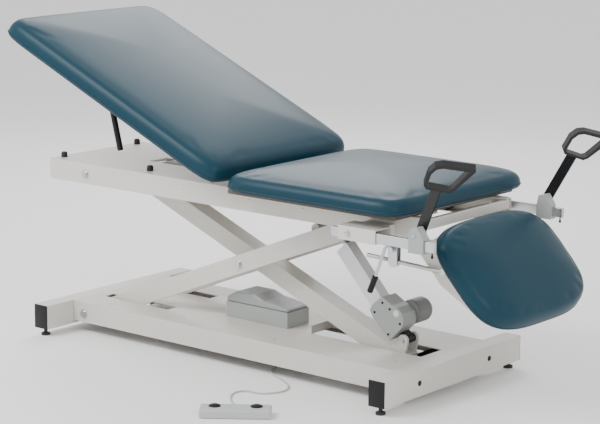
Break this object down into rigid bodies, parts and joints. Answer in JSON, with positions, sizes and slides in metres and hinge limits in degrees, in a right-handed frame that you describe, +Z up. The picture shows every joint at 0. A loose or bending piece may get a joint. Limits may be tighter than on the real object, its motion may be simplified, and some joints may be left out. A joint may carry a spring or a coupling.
{
  "type": "medical exam table",
  "caption": "Powered exam table with scissor lift, tilting backrest, fixed seat, drop leg rest, pull-out leg stirrups and a corded foot switch",
  "frame": {"origin": "on the floor under the middle of the table's overall box, the floor cord left out", "axes": "+Z up, +X towards the leg rest (foot end), -Y is the side with the foot switch"},
  "size_m": [1.9024, 1.1317, 1.0246],
  "materials": {
    "powder_coat": "off-white powder coat",
    "deck_coat": "warm grey coat",
    "black_plastic": "black moulded plastic",
    "rubber": "black rubber",
    "zinc": "zinc-plated steel",
    "dark_steel": "black coated steel",
    "vinyl": "petrol-blue upholstery vinyl",
    "plywood": "plain board",
    "motor_grey": "dark grey plastic",
    "gear_grey": "mid grey casting",
    "box_grey": "grey plastic",
    "column_white": "silver-white coat",
    "switch_grey": "light grey plastic"
  },
  "bodies": {
    "base": {"base_beam_head": "powder_coat", "base_beam_foot": "powder_coat", "foot_head_near": "rubber", "foot_head_far": "rubber", "foot_foot_near": "rubber", "foot_foot_far": "rubber", "base_deck": "deck_coat", "base_pivot_bolt": "zinc", "control_box": "gear_grey", "control_box_cover": "box_grey", "mains_inlet": "black_plastic", "cord_grommet": "black_plastic", "foot_switch_housing": "switch_grey", "foot_switch_cord": "switch_grey"},
    "arm_a": {"arm_a_near": "powder_coat", "arm_a_far": "powder_coat", "centre_pivot_bolt": "zinc"},
    "arm_b": {"arm_b_beam": "powder_coat", "actuator_pin": "zinc"},
    "wheels_upper": {"wheels_a": "black_plastic"},
    "wheels_lower": {"wheels_b": "black_plastic"},
    "top": {"top_frame": "powder_coat", "top_pivot_bolt": "zinc", "foot_cross_bar": "powder_coat", "seat_board": "plywood", "seat_pad": "vinyl", "leg_rest_shaft": "zinc", "gas_spring_stud": "zinc", "stirrup_socket_near": "powder_coat", "stirrup_socket_far": "powder_coat", "lock_bracket": "zinc"},
    "actuator": {"actuator_gearbox": "gear_grey", "actuator_column": "column_white", "actuator_motor": "motor_grey", "actuator_rear_mount": "black_plastic"},
    "actuator_ram": {"actuator_rod": "zinc"},
    "backrest": {"backrest_pad": "vinyl", "backrest_board": "plywood", "backrest_hinge_frame": "zinc"},
    "release_handle": {"release_lever": "black_plastic"},
    "gas_spring": {"gas_spring_cylinder": "dark_steel"},
    "gas_spring_stem": {"gas_spring_rod": "zinc"},
    "leg_rest": {"leg_rest_pad": "vinyl", "leg_rest_board": "plywood", "leg_rest_plate_near": "powder_coat", "leg_rest_plate_far": "powder_coat"},
    "leg_lock": {"leg_lock_rod": "zinc"},
    "lock_handle": {"lock_lever": "zinc", "lock_lever_grip": "black_plastic"},
    "stirrup_slide_near": {"stirrup_bar_near": "zinc", "stirrup_bracket_near": "gear_grey"},
    "stirrup_slide_far": {"stirrup_bar_far": "zinc", "stirrup_bracket_far": "gear_grey"},
    "stirrup_swing_near": {"stirrup_shaft_near": "dark_steel"},
    "stirrup_swing_far": {"stirrup_shaft_far": "dark_steel"},
    "stirrup_loop_near": {"stirrup_ring_near": "dark_steel"},
    "stirrup_loop_far": {"stirrup_ring_far": "dark_steel"},
    "pedal_a": {"pedal_up": "black_plastic"},
    "pedal_b": {"pedal_down": "black_plastic"}
  },
  "joints": [
    {"name": "lift", "type": "hinge", "parent": "base", "child": "arm_a", "pos_m": [-0.7097, 0.1336, 0.065], "axis": [0, -1, 0], "range_deg": [-5, 14.9]},
    {"name": "scissor_cross", "type": "hinge", "parent": "arm_a", "child": "arm_b", "pos_m": [-0.14159, 0.1336, 0.29525], "axis": [0, -1, 0], "range_deg": [-30.2, 10.4]},
    {"name": "scissor_top", "type": "hinge", "parent": "arm_b", "child": "top", "pos_m": [-0.7097, 0.1336, 0.5255], "axis": [0, -1, 0], "range_deg": [-5.2, 15.2]},
    {"name": "upper_wheels", "type": "hinge", "parent": "arm_a", "child": "wheels_upper", "pos_m": [0.42653, 0.1336, 0.5255], "axis": [0, 1, 0], "continuous": true},
    {"name": "lower_wheels", "type": "hinge", "parent": "arm_b", "child": "wheels_lower", "pos_m": [0.42653, 0.1336, 0.065], "axis": [0, 1, 0], "continuous": true},
    {"name": "actuator_swing", "type": "hinge", "parent": "arm_b", "child": "actuator", "pos_m": [0.43376, 0.1336, 0.13264], "axis": [0, 1, 0], "range_deg": [-0.48, 1.35]},
    {"name": "actuator_extend", "type": "slide", "parent": "actuator", "child": "actuator_ram", "axis": [-0.6749, 0, 0.7379], "range_m": [-0.0605, 0.1726]},
    {"name": "backrest_tilt", "type": "hinge", "parent": "top", "child": "backrest", "pos_m": [-0.0417, 0.1336, 0.603], "axis": [0, 1, 0], "range_deg": [-21.6, 56.4]},
    {"name": "release", "type": "hinge", "parent": "backrest", "child": "release_handle", "pos_m": [-0.5552, -0.1164, 0.763], "axis": [0, 1, 0], "range_deg": [0, 18], "stiffness_Nm_per_rad": 2},
    {"name": "gas_swing", "type": "hinge", "parent": "top", "child": "gas_spring", "pos_m": [0.2303, 0.2916, 0.52], "axis": [0, 1, 0], "range_deg": [-0.66, 1.19]},
    {"name": "gas_stroke", "type": "slide", "parent": "gas_spring", "child": "gas_spring_stem", "axis": [-0.9999, 0, -0.0133], "range_m": [-0.0341, 0.0854]},
    {"name": "leg_rest_tilt", "type": "hinge", "parent": "top", "child": "leg_rest", "pos_m": [0.5953, 0.1336, 0.54], "axis": [0, 1, 0], "range_deg": [-47.4, 27.4]},
    {"name": "lock_rod_swing", "type": "hinge", "parent": "leg_rest", "child": "leg_lock", "pos_m": [0.68477, -0.0514, 0.40847], "axis": [0, 1, 0], "range_deg": [-13.13, 22.34]},
    {"name": "lock_release", "type": "hinge", "parent": "top", "child": "lock_handle", "pos_m": [0.5133, -0.0694, 0.452], "axis": [0, 1, 0], "range_deg": [-12, 12], "stiffness_Nm_per_rad": 3},
    {"name": "stirrup_reach_near", "type": "slide", "parent": "top", "child": "stirrup_slide_near", "axis": [1, 0, 0], "range_m": [-0.02, 0.1]},
    {"name": "stirrup_fold_near", "type": "hinge", "parent": "stirrup_slide_near", "child": "stirrup_swing_near", "pos_m": [0.6803, -0.1642, 0.537], "axis": [0, 1, 0], "range_deg": [-12, 40]},
    {"name": "stirrup_turn_near", "type": "hinge", "parent": "stirrup_swing_near", "child": "stirrup_loop_near", "pos_m": [0.76316, -0.20498, 0.68211], "axis": [0.4817, -0.2371, 0.8436], "range_deg": [-40, 40]},
    {"name": "stirrup_reach_far", "type": "slide", "parent": "top", "child": "stirrup_slide_far", "axis": [1, 0, 0], "range_m": [-0.02, 0.1]},
    {"name": "stirrup_fold_far", "type": "hinge", "parent": "stirrup_slide_far", "child": "stirrup_swing_far", "pos_m": [0.6803, 0.4866, 0.537], "axis": [0, 1, 0], "range_deg": [-12, 40]},
    {"name": "stirrup_turn_far", "type": "hinge", "parent": "stirrup_swing_far", "child": "stirrup_loop_far", "pos_m": [0.76556, 0.49108, 0.68631], "axis": [0.4957, 0.026, 0.8681], "range_deg": [-40, 40]},
    {"name": "pedal_press_a", "type": "slide", "parent": "base", "child": "pedal_a", "axis": [0, 0, -1], "range_m": [0, 0.003], "stiffness_N_per_m": 1200},
    {"name": "pedal_press_b", "type": "slide", "parent": "base", "child": "pedal_b", "axis": [0, 0, -1], "range_m": [0, 0.003], "stiffness_N_per_m": 1200}
  ],
  "couplings": [
    {"joint": "scissor_cross", "follows": "lift", "ratio": -2},
    {"joint": "scissor_top", "follows": "lift", "ratio": 1},
    {"joint": "actuator_swing", "follows": "lift", "ratio": 0.0857},
    {"joint": "actuator_extend", "follows": "lift", "m_per_rad": 0.6422},
    {"joint": "gas_swing", "follows": "backrest_tilt", "ratio": 0.0154},
    {"joint": "gas_stroke", "follows": "backrest_tilt", "m_per_rad": 0.0856},
    {"joint": "lock_rod_swing", "follows": "leg_rest_tilt", "ratio": -0.4606}
  ]
}
